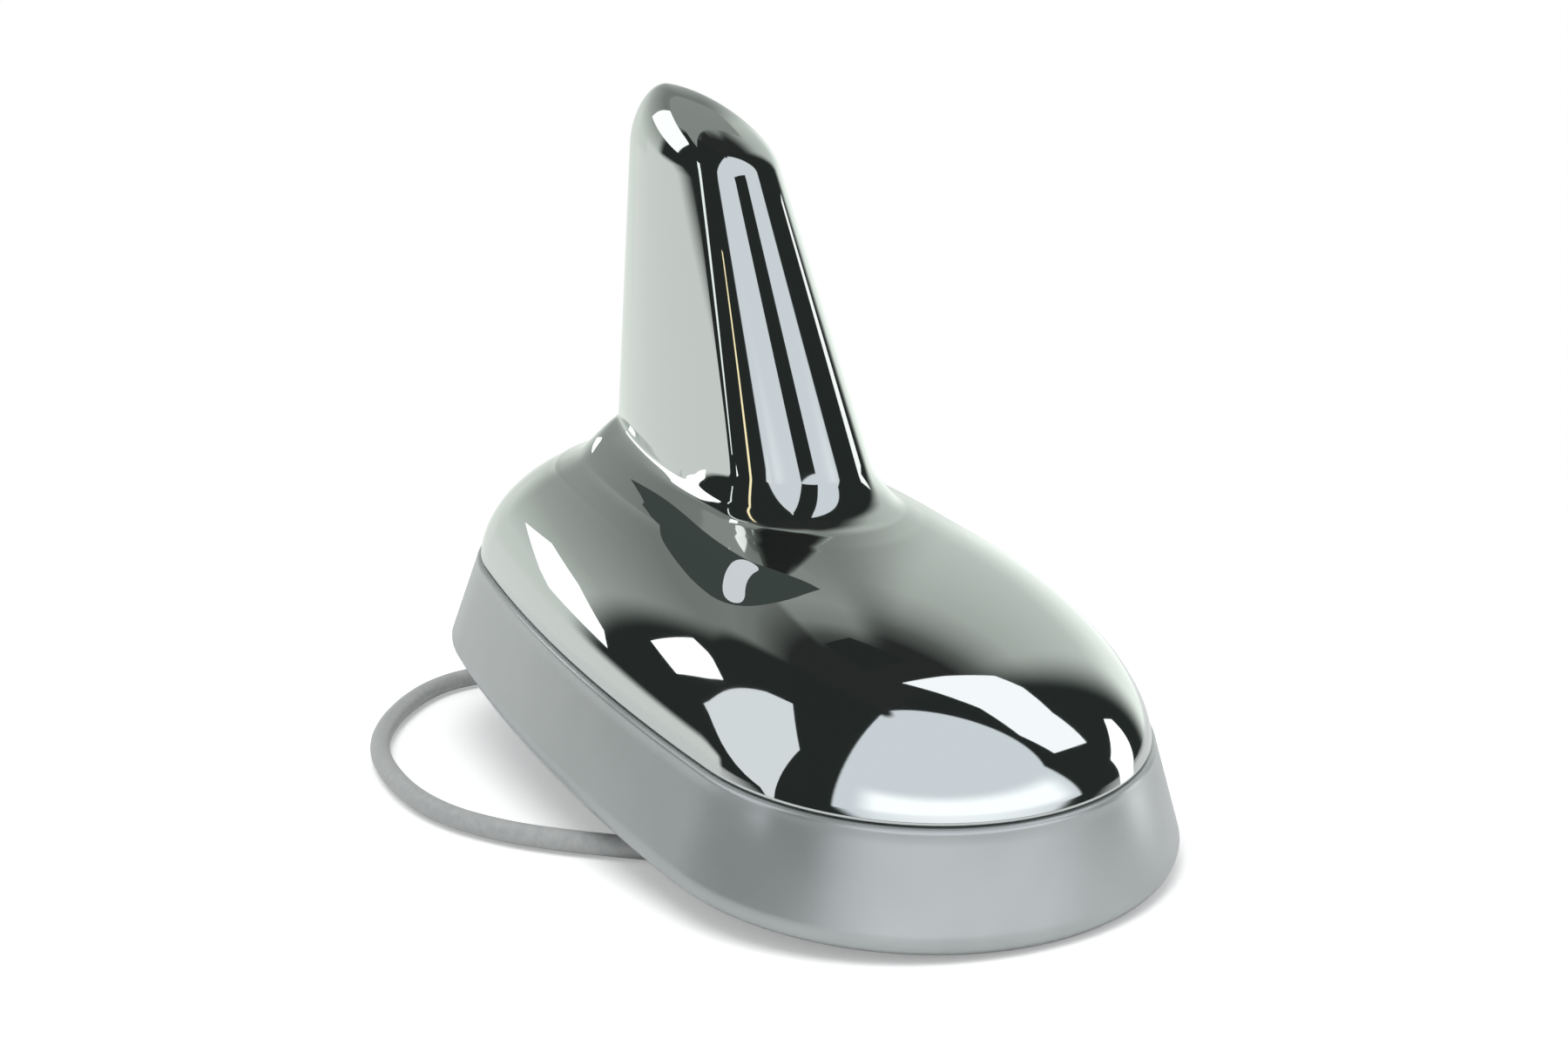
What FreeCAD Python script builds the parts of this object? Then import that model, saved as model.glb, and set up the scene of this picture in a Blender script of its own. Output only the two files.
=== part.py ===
import FreeCAD, Part
import math
import os
import Sketcher
from FreeCAD import Vector, Placement, Rotation

# Shark-fin roof antenna, millimetres. +Z up, front towards -Y.
# The roof plane is z = 0 and the stud's axis is the Z axis.

os.makedirs("parts", exist_ok=True)
doc = FreeCAD.newDocument("RoofAntenna")

# Driving dimensions: alias, value
DIMENSIONS = [
    # rubber skirt
    ("baseLength", 130.0), ("baseWidth", 68.4), ("baseFrontRadius", 33.5), ("baseRearRadius", 30.5),
    ("skirtHeight", 13.6), ("skirtFlare", 3.75), ("skirtToeRadius", 1.6), ("skirtLipRadius", 0.6), ("skirtInset", 1.0),
    # shell: dome
    ("seamInset", 0.6), ("shellWall", 2.2), ("domeHeight", 21.5), ("domePower", 1.7), ("domeRoot", 2.3), ("crownStation", 11.0),
    # shell: fin
    ("finTop", 81.8), ("finRootHeight", 28.7), ("finFrontRoot", -18.0), ("finFrontTop", 15.0), ("finRearRoot", 40.5), ("finRearTop", 41.0),
    ("finHalfRoot", 12.5), ("finHalfTop", 6.1), ("noseRatio", 0.9), ("tailRatio", 0.55), ("finFillet", 5.0), ("finBlend", 1.6),
    ("tipHeight", 8.4), ("tipPower", 1.9), ("tipStation", 0.25), ("cavityTopGap", 16.0),
    # shell screws
    ("bossRadius", 3.5), ("bossSideInset", 14.2), ("bossFrontInset", 39.0), ("bossRearInset", 18.0),
    ("frontBossX", "=baseWidth / 2 - bossSideInset"), ("frontBossY", "=bossFrontInset - baseLength / 2"), ("rearBossY", "=baseLength / 2 - bossRearInset"),
    ("shellScrewRadius", 1.5), ("shellScrewHeadRadius", 2.8), ("shellScrewHead", 1.6), ("shellScrewBite", 9.0), ("screwClearance", 0.2),
    # base plate
    ("plateLift", 1.0), ("plateThickness", 3.0), ("plateClearance", 0.25), ("rimWall", 2.0), ("rimGap", 0.4),
    ("plateRibWidth", 1.6), ("plateRibHeight", 2.4), ("pocketDepth", 1.0), ("pocketPad", 1.5),
    # stud
    ("studRadius", 3.0), ("studReach", 8.0), ("studChamfer", 0.7), ("studNeckRadius", 3.6), ("studHeadRadius", 6.0), ("studHead", 2.0),
    # seal ring on the underside
    ("sealInner", 10.0), ("sealWidth", 2.6),
    # amplifier board
    ("boardSideInset", 20.2), ("boardFrontInset", 25.0), ("boardRearInset", 26.0), ("postInset", 3.0), ("boardThickness", 1.6), ("boardLift", 5.0),
    ("boardFront", "=boardFrontInset - baseLength / 2"), ("boardRear", "=baseLength / 2 - boardRearInset"), ("boardHalf", "=baseWidth / 2 - boardSideInset"),
    ("postRadius", 2.8), ("postX", "=boardHalf - postInset"), ("postFrontY", "=boardFront + 3.5"), ("postRearY", "=boardRear - 3.5"),
    ("boardScrewRadius", 1.0), ("boardScrewHeadRadius", 2.0), ("boardScrewHead", 1.3), ("boardScrewBite", 3.5),
    # parts on the board
    ("patchSize", 25.0), ("patchThickness", 4.0), ("patchPostGap", 3.5), ("patchY", "=postFrontY + patchPostGap + patchSize / 2"), ("patchCorner", 1.5), ("patchPinRadius", 0.6), ("patchPinHead", 0.5), ("patchPinOffset", 2.5),
    ("canX", 8.0), ("canFront", 3.0), ("canPostGap", 6.5), ("canLength", "=postRearY - canPostGap - canFront"), ("canY", "=canFront + canLength / 2"), ("canWidth", 9.0), ("canHeight", 3.5), ("canCorner", 0.8),
    ("chipX", -8.5), ("chipWidth", 5.0), ("chipLength", 6.0), ("chipHeight", 1.4), ("chipCount", 3),
    ("chipY", "=canFront + chipLength / 2"), ("chipPitch", "=(canLength - chipLength) / (chipCount - 1)"),
    # upright board in the fin
    ("finBoardThickness", 1.0), ("finBoardPatchGap", 4.0), ("finBoardFront", "=patchY + patchSize / 2 + finBoardPatchGap"), ("finBoardRear", 35.0), ("finBoardShoulder", 31.0), ("finBoardTop", 60.0), ("finBoardGap", 2.0),
    ("clipWidth", 2.2), ("clipLength", 5.0), ("clipHeight", 4.0), ("clipInset", 4.0),
    # cable and its grommet
    ("cableRadius", 1.4), ("exitY", 16.0), ("grommetRadius", 4.0), ("grommetFlangeRadius", 5.6), ("grommetFlange", 1.5), ("grommetReach", 2.0),
    # plug at the cable's end
    ("ferruleRadius", 2.2), ("ferruleLength", 8.0), ("plugRadius", 4.2), ("plugLength", 16.0), ("plugCollarRadius", 4.8), ("plugCollar", 3.0),
    ("plugBore", 1.8), ("plugBoreDepth", 7.0), ("contactRadius", 0.5), ("contactLength", 5.5),
]

sheet = doc.addObject("Spreadsheet::Sheet", "Sizes")
for row, (alias, value) in enumerate(DIMENSIONS, start=1):
    sheet.set("A%d" % row, alias)
    sheet.set("B%d" % row, str(value))
    sheet.setAlias("B%d" % row, alias)
doc.recompute()


def size(alias):
    return float(sheet.get(alias))


nodes = []


def node(obj, label):
    obj.Label = label
    nodes.append(obj)
    return obj


def bind(obj, **expressions):
    for prop, text in expressions.items():
        obj.setExpression(prop.replace("__", "."), text)
    return obj


def primitive(kind, name, **expressions):
    return bind(doc.addObject("Part::" + kind, name), **expressions)


def at(obj, x="0", y="0", z="0"):
    return bind(obj, Placement__Base__x=x, Placement__Base__y=y, Placement__Base__z=z)


def fuse(name, *shapes):
    obj = doc.addObject("Part::MultiFuse", name)
    obj.Shapes = list(shapes)
    return obj


def cut(name, base, tool):
    obj = doc.addObject("Part::Cut", name)
    obj.Base, obj.Tool = base, tool
    return obj


def feature(name, shape):
    obj = doc.addObject("Part::Feature", name)
    obj.Shape = shape
    return obj


# An egg-shaped outline of four tangent arcs: nose, two long flanks, tail
def eggWire(front, rear, half, noseRadius, tailRadius, z):
    noseRadius = min(noseRadius, 0.98 * half)
    tailRadius = min(tailRadius, 0.98 * half)
    noseY, tailY = front + noseRadius, rear - tailRadius
    span = tailY - noseY

    def reach(R, r):
        return math.sqrt(max(0.0, 2 * R * (half - r) + r * r - half * half))

    low = max((half + noseRadius) / 2, (half + tailRadius) / 2)
    high = 2 * low
    while reach(high, noseRadius) + reach(high, tailRadius) < span:
        high *= 2
    for step in range(70):
        mid = (low + high) / 2
        if reach(mid, noseRadius) + reach(mid, tailRadius) < span:
            low = mid
        else:
            high = mid
    R = (low + high) / 2
    beam = noseY + reach(R, noseRadius)

    def joint(side, centreY, r):
        dx, dy = side * (R - half), centreY - beam
        n = math.hypot(dx, dy)
        return Vector(r * dx / n, centreY + r * dy / n, z)

    rightNose, leftNose = joint(1, noseY, noseRadius), joint(-1, noseY, noseRadius)
    rightTail, leftTail = joint(1, tailY, tailRadius), joint(-1, tailY, tailRadius)
    return Part.Wire([
        Part.Arc(rightNose, Vector(0, front, z), leftNose).toShape(),
        Part.Arc(leftNose, Vector(-half, beam, z), leftTail).toShape(),
        Part.Arc(leftTail, Vector(0, rear, z), rightTail).toShape(),
        Part.Arc(rightTail, Vector(half, beam, z), rightNose).toShape(),
    ])


# The base outline, drawn in by an inset
def baseEgg(inset, z):
    reach = size("baseLength") / 2 - inset
    return eggWire(-reach, reach, size("baseWidth") / 2 - inset, size("baseFrontRadius") - inset, size("baseRearRadius") - inset, z)


def slab(wire, height):
    return Part.Face(wire).extrude(Vector(0, 0, height))


seamZ = size("skirtHeight")
shellInset = size("skirtFlare") + size("seamInset")
boreInset = shellInset + size("shellWall") + size("skirtInset")


# Shell form: for a height, the front, rear, half width and end radii of its section
def softMax(a, b, width):
    overlap = max(0.0, width - abs(a - b)) / width
    return max(a, b) + overlap * overlap * width / 4


def domeSection(z):
    h = min(0.9999, max(0.0, (z - seamZ) / size("domeHeight")))
    s = (1 - h ** size("domePower")) ** (1 / size("domeRoot"))
    reach = size("baseLength") / 2 - shellInset
    c = size("crownStation")
    return [(c + reach) * s, (reach - c) * s, (size("baseWidth") / 2 - shellInset) * s,
            (size("baseFrontRadius") - shellInset) * s, (size("baseRearRadius") - shellInset) * s]


def finSection(z):
    g = (z - size("finRootHeight")) / (size("finTop") - size("finRootHeight"))
    front = size("finFrontRoot") + (size("finFrontTop") - size("finFrontRoot")) * g
    rear = size("finRearRoot") + (size("finRearTop") - size("finRearRoot")) * g
    half = size("finHalfRoot") + (size("finHalfTop") - size("finHalfRoot")) * g
    k = (z - (size("finTop") - size("tipHeight"))) / size("tipHeight")
    if k > 0:
        s = (1 - k ** size("tipPower")) ** (1 / size("tipPower"))
        pivot = rear - size("tipStation") * (rear - front)
        front, rear, half = pivot - (pivot - front) * s, pivot + (rear - pivot) * s, half * s
    c = size("crownStation")
    return [c - front, rear - c, half, size("noseRatio") * half, size("tailRatio") * half]


# Height at which the dome meets the fillet round the fin, for front, rear and side
def rootHeight(index):
    low, high = seamZ, seamZ + size("domeHeight")
    for step in range(50):
        mid = (low + high) / 2
        if domeSection(mid)[index] > finSection(mid)[index] + size("finFillet"):
            low = mid
        else:
            high = mid
    return low


rootHeights = [rootHeight(k) for k in range(3)]


# How far the fillet stands out from the fin at a height
def rootFlare(z, index):
    h = min(1.0, max(0.0, (z - rootHeights[index]) / size("finFillet")))
    return size("finFillet") * (1 - math.sqrt(1 - (1 - h) ** 2))


def shellSection(z):
    fin = [v + rootFlare(z, k) for v, k in zip(finSection(z), (0, 1, 2, 0, 1))]
    if z >= seamZ + size("domeHeight") + size("finFillet"):
        return fin
    return [softMax(a, b, size("finBlend")) for a, b in zip(domeSection(z), fin)]


def shellWire(z, inset=0.0, drop=0.0):
    front, rear, half, nose, tail = shellSection(z + drop)
    c = size("crownStation")
    return eggWire(c - front + inset, c + rear - inset, half - inset, nose - inset, tail - inset, z)


domeTop = seamZ + size("domeHeight")
tipBase = size("finTop") - size("tipHeight")
rootBase, rootTop = min(rootHeights), max(rootHeights) + size("finFillet")
domeStations = [seamZ + (rootBase - seamZ) * math.sin(math.pi / 2 * k / 13) for k in range(13)]
rootStations = [rootBase + (rootTop - rootBase) * k / 16 for k in range(16)]
finStations = [rootTop, (rootTop + tipBase) / 2, tipBase]
tipStations = [tipBase + size("tipHeight") * k for k in (0.12, 0.24, 0.36, 0.48, 0.6, 0.7, 0.79, 0.87, 0.93, 0.97, 0.99)]

outer = Part.makeLoft([shellWire(z) for z in domeStations + rootStations + finStations + tipStations], True, True)

# Cavity: the same form drawn in by the wall and lowered by the wall
wall = size("shellWall")
cavityTop = size("finTop") - size("cavityTopGap")
cavityStations = [seamZ - 1.0 + (domeTop - wall - seamZ + 1.0) * math.sin(math.pi / 2 * k / 8) for k in range(8)]
cavityStations += [domeTop - wall + (cavityTop - domeTop + wall) * k / 6 for k in range(7)]
cavity = Part.makeLoft([shellWire(z, wall, wall) for z in cavityStations], True, True)

plateTop = size("plateLift") + size("plateThickness")
bossSpots = [(size("frontBossX"), size("frontBossY")), (-size("frontBossX"), size("frontBossY")), (0.0, size("rearBossY"))]

shell = outer.cut(cavity)
for x, y in bossSpots:
    boss = Part.makeCylinder(size("bossRadius"), size("domeHeight"), Vector(x, y, seamZ)).common(outer)
    foot = Part.makeCylinder(size("bossRadius"), seamZ - plateTop, Vector(x, y, plateTop))
    shell = shell.fuse(boss).fuse(foot)
for x, y in bossSpots:
    shell = shell.cut(Part.makeCylinder(size("shellScrewRadius"), size("shellScrewBite"), Vector(x, y, plateTop)))
node(feature("FinHousing", shell.removeSplitter()), "fin_housing")

# Rubber skirt: flared outside, rounded toe and lip, straight bore
toe, lip = size("skirtToeRadius"), size("skirtLipRadius")
toeAngles = [math.pi / 2 * k / 4 for k in range(5)]
skirtStations = [(toe * (1 - math.cos(a)), toe * (1 - math.sin(a))) for a in toeAngles]
skirtStations += [(seamZ - lip * math.cos(a), size("skirtFlare") + lip * (1 - math.cos(a))) for a in (0.0,)]
skirtStations += [(seamZ - lip * (1 - math.sin(a)), size("skirtFlare") + lip * (1 - math.cos(a))) for a in (math.pi / 4, math.pi / 2)]
skirt = Part.makeLoft([baseEgg(inset, z) for z, inset in skirtStations], True, True)
skirt = skirt.cut(slab(baseEgg(boreInset, -1.0), seamZ + 2.0))
node(feature("BaseGasket", skirt), "base_gasket")


# A turned piece: a closed profile of radius and height expressions, swept once round
def turned(name, points):
    body = doc.addObject("PartDesign::Body", name)
    sketch = body.newObject("Sketcher::SketchObject", name + "Profile")
    plane = [f for f in body.Origin.OriginFeatures if f.Role == "XZ_Plane"][0]
    sketch.AttachmentSupport = [(plane, "")]
    sketch.MapMode = "FlatFace"
    outline(sketch, points)
    turn = body.newObject("PartDesign::Revolution", name + "Turn")
    turn.Profile = sketch
    turn.ReferenceAxis = (sketch, ["V_Axis"])
    turn.Angle = 360.0
    return body


# A flat piece: a closed profile pushed out by a thickness
def padded(name, role, points, thickness, middle=False):
    body = doc.addObject("PartDesign::Body", name)
    sketch = body.newObject("Sketcher::SketchObject", name + "Profile")
    plane = [f for f in body.Origin.OriginFeatures if f.Role == role][0]
    sketch.AttachmentSupport = [(plane, "")]
    sketch.MapMode = "FlatFace"
    outline(sketch, points)
    pad = body.newObject("PartDesign::Pad", name + "Pad")
    pad.Profile = sketch
    pad.setExpression("Length", thickness)
    pad.Midplane = middle
    return body


def outline(sketch, points):
    start = [(evaluate(u), evaluate(v)) for u, v in points]
    count = len(points)
    for k in range(count):
        a, b = start[k], start[(k + 1) % count]
        sketch.addGeometry(Part.LineSegment(Vector(a[0], a[1], 0), Vector(b[0], b[1], 0)), False)
    for k in range(count):
        sketch.addConstraint(Sketcher.Constraint("Coincident", k, 2, (k + 1) % count, 1))
    for k, (u, v) in enumerate(points):
        for axis, text, line, value in (("DistanceX", u, -2, start[k][0]), ("DistanceY", v, -1, start[k][1])):
            if text == "0":
                sketch.addConstraint(Sketcher.Constraint("PointOnObject", k, 1, line))
            else:
                index = sketch.addConstraint(Sketcher.Constraint(axis, -1, 1, k, 1, value))
                sketch.setExpression("Constraints[%d]" % index, text)


# The value that an expression of sheet names has now
def evaluate(text):
    return float(sheet.evalExpression(text))


# Named heights of the stack, as expressions
plateTopText = "Sizes.plateLift + Sizes.plateThickness"
boardZText = plateTopText + " + Sizes.boardLift"
boardTopText = boardZText + " + Sizes.boardThickness"

# A slot-shaped outline round stud and grommet
def slotFace(radius, z):
    y = size("exitY")
    return Part.Face(Part.Wire([
        Part.Arc(Vector(radius, 0, z), Vector(0, -radius, z), Vector(-radius, 0, z)).toShape(),
        Part.LineSegment(Vector(-radius, 0, z), Vector(-radius, y, z)).toShape(),
        Part.Arc(Vector(-radius, y, z), Vector(0, y + radius, z), Vector(radius, y, z)).toShape(),
        Part.LineSegment(Vector(radius, y, z), Vector(radius, 0, z)).toShape()]))


# Die-cast base plate: floor and rim of the skirt's bore outline, ribs, posts, bored for screws, stud and grommet
plateInset = boreInset + size("plateClearance")
rimTop = seamZ - size("rimGap")
tray = slab(baseEgg(plateInset, size("plateLift")), rimTop - size("plateLift"))
tray = tray.cut(slab(baseEgg(plateInset + size("rimWall"), plateTop), rimTop))
# shallow pockets below, with ribs, screw pads and the seal's seat left standing
pocket = slab(baseEgg(plateInset + size("rimWall"), size("plateLift")), size("pocketDepth"))
pocket = pocket.cut(slotFace(size("sealInner") + size("sealWidth") + size("pocketPad"), size("plateLift")).extrude(Vector(0, 0, size("pocketDepth"))))
for x, y in bossSpots:
    pocket = pocket.cut(Part.makeCylinder(size("shellScrewHeadRadius") + 2 * size("pocketPad"), size("pocketDepth"), Vector(x, y, size("plateLift"))))
ribWidth = size("plateRibWidth")
pocket = pocket.cut(Part.makeBox(ribWidth, size("baseLength"), size("pocketDepth"), Vector(-ribWidth / 2, -size("baseLength") / 2, size("plateLift"))))
for share in (-0.34, -0.2, 0.08, 0.28):
    pocket = pocket.cut(Part.makeBox(size("baseWidth"), ribWidth, size("pocketDepth"), Vector(-size("baseWidth") / 2, share * size("baseLength") - ribWidth / 2, size("plateLift"))))
trayCore = feature("PlateTray", tray.cut(pocket))
posts = []
for k, (sx, sy) in enumerate((("", "Front"), ("-", "Front"), ("", "Rear"), ("-", "Rear"))):
    post = primitive("Cylinder", "BoardPost%d" % (k + 1), Radius="Sizes.postRadius", Height="Sizes.boardLift + Sizes.plateThickness / 2")
    posts.append(at(post, sx + "Sizes.postX", "Sizes.post%sY" % sy, "Sizes.plateLift + Sizes.plateThickness / 2"))
ribs = []
for k, sx in enumerate(("", "-")):
    rib = primitive("Box", "LongRib%d" % (k + 1), Length="Sizes.plateRibWidth", Width="Sizes.postRearY - Sizes.postFrontY",
                    Height="Sizes.plateRibHeight + Sizes.plateThickness / 2")
    ribs.append(at(rib, sx + "Sizes.postX - Sizes.plateRibWidth / 2", "Sizes.postFrontY", "Sizes.plateLift + Sizes.plateThickness / 2"))
for k, y in enumerate(("-Sizes.studHeadRadius - 2 * Sizes.plateRibWidth", "Sizes.exitY + Sizes.grommetFlangeRadius + 2 * Sizes.plateRibWidth")):
    rib = primitive("Box", "CrossRib%d" % (k + 1), Length="2 * Sizes.postX", Width="Sizes.plateRibWidth",
                    Height="Sizes.plateRibHeight + Sizes.plateThickness / 2")
    ribs.append(at(rib, "-Sizes.postX", y, "Sizes.plateLift + Sizes.plateThickness / 2"))
cast = fuse("PlateCasting", trayCore, *(posts + ribs))
drills = []
for k, (sx, sy) in enumerate((("", "Front"), ("-", "Front"), ("", "Rear"), ("-", "Rear"))):
    drill = primitive("Cylinder", "PostBore%d" % (k + 1), Radius="Sizes.boardScrewRadius", Height="Sizes.boardScrewBite")
    drills.append(at(drill, sx + "Sizes.postX", "Sizes.post%sY" % sy, boardZText + " - Sizes.boardScrewBite"))
bossTexts = (("Sizes.frontBossX", "Sizes.frontBossY"), ("-Sizes.frontBossX", "Sizes.frontBossY"), ("0", "Sizes.rearBossY"))
for k, (x, y) in enumerate(bossTexts):
    drill = primitive("Cylinder", "ScrewHole%d" % (k + 1), Radius="Sizes.shellScrewRadius + Sizes.screwClearance", Height="Sizes.plateThickness")
    drills.append(at(drill, x, y, "Sizes.plateLift"))
    sink = primitive("Cylinder", "ScrewSink%d" % (k + 1), Radius="Sizes.shellScrewHeadRadius + Sizes.screwClearance", Height="Sizes.shellScrewHead")
    drills.append(at(sink, x, y, "Sizes.plateLift"))
drills.append(at(primitive("Cylinder", "StudBore", Radius="Sizes.studNeckRadius", Height="Sizes.plateThickness"), z="Sizes.plateLift"))
drills.append(at(primitive("Cylinder", "GrommetBore", Radius="Sizes.grommetRadius", Height="Sizes.plateThickness"), y="Sizes.exitY", z="Sizes.plateLift"))
node(cut("BasePlate", cast, fuse("PlateBores", *drills)), "base_plate")

# Roof stud: flat head on the plate, neck pressed into its bore, shank below with a chamfered end
node(turned("RoofStud", [
    ("0", "-Sizes.studReach"), ("Sizes.studRadius - Sizes.studChamfer", "-Sizes.studReach"), ("Sizes.studRadius", "-Sizes.studReach + Sizes.studChamfer"),
    ("Sizes.studRadius", "Sizes.plateLift"), ("Sizes.studNeckRadius", "Sizes.plateLift"), ("Sizes.studNeckRadius", plateTopText), ("Sizes.studHeadRadius", plateTopText),
    ("Sizes.studHeadRadius", plateTopText + " + Sizes.studHead"), ("0", plateTopText + " + Sizes.studHead")]), "roof_stud")


# Seal ring on the underside
sealRing = slotFace(size("sealInner") + size("sealWidth"), 0).cut(slotFace(size("sealInner"), 0)).extrude(Vector(0, 0, size("plateLift")))
node(feature("RoofSeal", sealRing.Solids[0]), "roof_seal")

# Shell screws, driven from below into the shell's bosses
screws = []
for k, (x, y) in enumerate(bossTexts):
    head = at(primitive("Cylinder", "ShellScrewHead%d" % (k + 1), Radius="Sizes.shellScrewHeadRadius", Height="Sizes.shellScrewHead"), x, y, "Sizes.plateLift")
    shank = at(primitive("Cylinder", "ShellScrewShank%d" % (k + 1), Radius="Sizes.shellScrewRadius",
                         Height="Sizes.plateThickness + Sizes.shellScrewBite - Sizes.shellScrewRadius"), x, y, "Sizes.plateLift")
    screws.append(fuse("ShellScrew%d" % (k + 1), head, shank))
group = doc.addObject("Part::Compound", "HousingScrews")
group.Links = screws
node(group, "housing_screws")

# Amplifier board on the plate's posts
board = padded("BoardBlank", "XY_Plane", [("-Sizes.boardHalf", "Sizes.boardFront"), ("Sizes.boardHalf", "Sizes.boardFront"),
                                          ("Sizes.boardHalf", "Sizes.boardRear"), ("-Sizes.boardHalf", "Sizes.boardRear")], "Sizes.boardThickness")
at(board, z=boardZText)
holes = []
for k, (sx, sy) in enumerate((("", "Front"), ("-", "Front"), ("", "Rear"), ("-", "Rear"))):
    hole = primitive("Cylinder", "BoardHole%d" % (k + 1), Radius="Sizes.boardScrewRadius + Sizes.screwClearance", Height="Sizes.boardThickness")
    holes.append(at(hole, sx + "Sizes.postX", "Sizes.post%sY" % sy, boardZText))
node(cut("CircuitBoard", board, fuse("BoardHoles", *holes)), "circuit_board")

screws = []
for k, (sx, sy) in enumerate((("", "Front"), ("-", "Front"), ("", "Rear"), ("-", "Rear"))):
    x, y = sx + "Sizes.postX", "Sizes.post%sY" % sy
    head = at(primitive("Cylinder", "BoardScrewHead%d" % (k + 1), Radius="Sizes.boardScrewHeadRadius", Height="Sizes.boardScrewHead"), x, y, boardTopText)
    shank = at(primitive("Cylinder", "BoardScrewShank%d" % (k + 1), Radius="Sizes.boardScrewRadius",
                         Height="Sizes.boardThickness + Sizes.boardScrewBite - Sizes.boardScrewRadius"), x, y,
               boardZText + " - Sizes.boardScrewBite + Sizes.boardScrewRadius")
    screws.append(fuse("BoardScrew%d" % (k + 1), head, shank))
group = doc.addObject("Part::Compound", "BoardScrews")
group.Links = screws
node(group, "board_screws")

# Ceramic patch with its feed pin
patch = padded("PatchBlank", "XY_Plane", [
    ("-Sizes.patchSize / 2 + Sizes.patchCorner", "-Sizes.patchSize / 2"), ("Sizes.patchSize / 2", "-Sizes.patchSize / 2"),
    ("Sizes.patchSize / 2", "Sizes.patchSize / 2 - Sizes.patchCorner"), ("Sizes.patchSize / 2 - Sizes.patchCorner", "Sizes.patchSize / 2"),
    ("-Sizes.patchSize / 2", "Sizes.patchSize / 2"), ("-Sizes.patchSize / 2", "-Sizes.patchSize / 2 + Sizes.patchCorner")], "Sizes.patchThickness")
at(patch, y="Sizes.patchY", z=boardTopText)
pinBore = at(primitive("Cylinder", "PatchBore", Radius="Sizes.patchPinRadius", Height="Sizes.patchThickness"), y="Sizes.patchY - Sizes.patchPinOffset", z=boardTopText)
node(cut("PatchAntenna", patch, pinBore), "patch_antenna")
pin = turned("PatchPin", [("0", "0"), ("Sizes.patchPinRadius", "0"), ("Sizes.patchPinRadius", "Sizes.patchThickness"),
                          ("2 * Sizes.patchPinRadius", "Sizes.patchThickness"), ("2 * Sizes.patchPinRadius", "Sizes.patchThickness + Sizes.patchPinHead"),
                          ("0", "Sizes.patchThickness + Sizes.patchPinHead")])
node(at(pin, y="Sizes.patchY - Sizes.patchPinOffset", z=boardTopText), "patch_pin")

# Screening can and the small parts beside the upright board
can = primitive("Box", "CanBlank", Length="Sizes.canWidth", Width="Sizes.canLength", Height="Sizes.canHeight")
at(can, "Sizes.canX - Sizes.canWidth / 2", "Sizes.canY - Sizes.canLength / 2", boardTopText)
doc.recompute()
edges = [k + 1 for k, e in enumerate(can.Shape.Edges) if e.BoundBox.ZMin > can.Shape.BoundBox.ZMax - 0.01 or e.BoundBox.ZLength > 0.5 * can.Shape.BoundBox.ZLength]
rounded = doc.addObject("Part::Fillet", "ShieldCan")
rounded.Base = can
rounded.Edges = [(k, size("canCorner"), size("canCorner")) for k in edges]
node(rounded, "shield_can")

chips = []
for k in range(int(size("chipCount"))):
    chip = primitive("Box", "Chip%d" % (k + 1), Length="Sizes.chipWidth", Width="Sizes.chipLength", Height="Sizes.chipHeight")
    chips.append(at(chip, "Sizes.chipX - Sizes.chipWidth / 2", "Sizes.chipY - Sizes.chipLength / 2 + %d * Sizes.chipPitch" % k, boardTopText))
group = doc.addObject("Part::Compound", "ChipParts")
group.Links = chips
node(group, "chip_parts")

# Upright board that follows the fin, and its clips
taper = "(Sizes.finBoardTop - Sizes.finRootHeight) / (Sizes.finTop - Sizes.finRootHeight)"
topFront = "Sizes.finFrontRoot + (Sizes.finFrontTop - Sizes.finFrontRoot) * %s + Sizes.shellWall + Sizes.finBoardGap" % taper
topRear = "Sizes.finRearRoot + (Sizes.finRearTop - Sizes.finRearRoot) * %s - Sizes.shellWall - Sizes.finBoardGap" % taper
fin = padded("FinAntenna", "YZ_Plane", [("Sizes.finBoardFront", boardTopText), ("Sizes.finBoardRear", boardTopText), ("Sizes.finBoardRear", "Sizes.finBoardShoulder"),
                                        (topRear, "Sizes.finBoardTop"), (topFront, "Sizes.finBoardTop"), ("Sizes.finBoardFront", "Sizes.finBoardShoulder")],
             "Sizes.finBoardThickness", True)
node(fin, "fin_antenna")
clips = []
for k, (x, y) in enumerate((("Sizes.finBoardThickness / 2", "Sizes.finBoardFront + Sizes.clipInset"),
                            ("-Sizes.finBoardThickness / 2 - Sizes.clipWidth", "Sizes.finBoardFront + Sizes.clipInset"),
                            ("Sizes.finBoardThickness / 2", "Sizes.finBoardRear - Sizes.clipInset - Sizes.clipLength"),
                            ("-Sizes.finBoardThickness / 2 - Sizes.clipWidth", "Sizes.finBoardRear - Sizes.clipInset - Sizes.clipLength"))):
    clip = primitive("Box", "FinClip%d" % (k + 1), Length="Sizes.clipWidth", Width="Sizes.clipLength", Height="Sizes.clipHeight")
    clips.append(at(clip, x, y, boardTopText))
group = doc.addObject("Part::Compound", "FinBoardClips")
group.Links = clips
node(group, "fin_board_clips")

# Grommet in the plate, and the lead that runs through it up to the board
grommet = turned("CableGrommet", [("Sizes.cableRadius", "-Sizes.grommetReach"), ("Sizes.grommetRadius", "-Sizes.grommetReach"), ("Sizes.grommetRadius", plateTopText),
                                  ("Sizes.grommetFlangeRadius", plateTopText), ("Sizes.grommetFlangeRadius", plateTopText + " + Sizes.grommetFlange"),
                                  ("Sizes.cableRadius", plateTopText + " + Sizes.grommetFlange")])
node(at(grommet, y="Sizes.exitY"), "cable_grommet")
lead = primitive("Cylinder", "CoaxLeadIn", Radius="Sizes.cableRadius", Height=boardZText + " + Sizes.grommetReach")
node(at(lead, y="Sizes.exitY", z="-Sizes.grommetReach"), "coax_lead_in")

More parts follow.
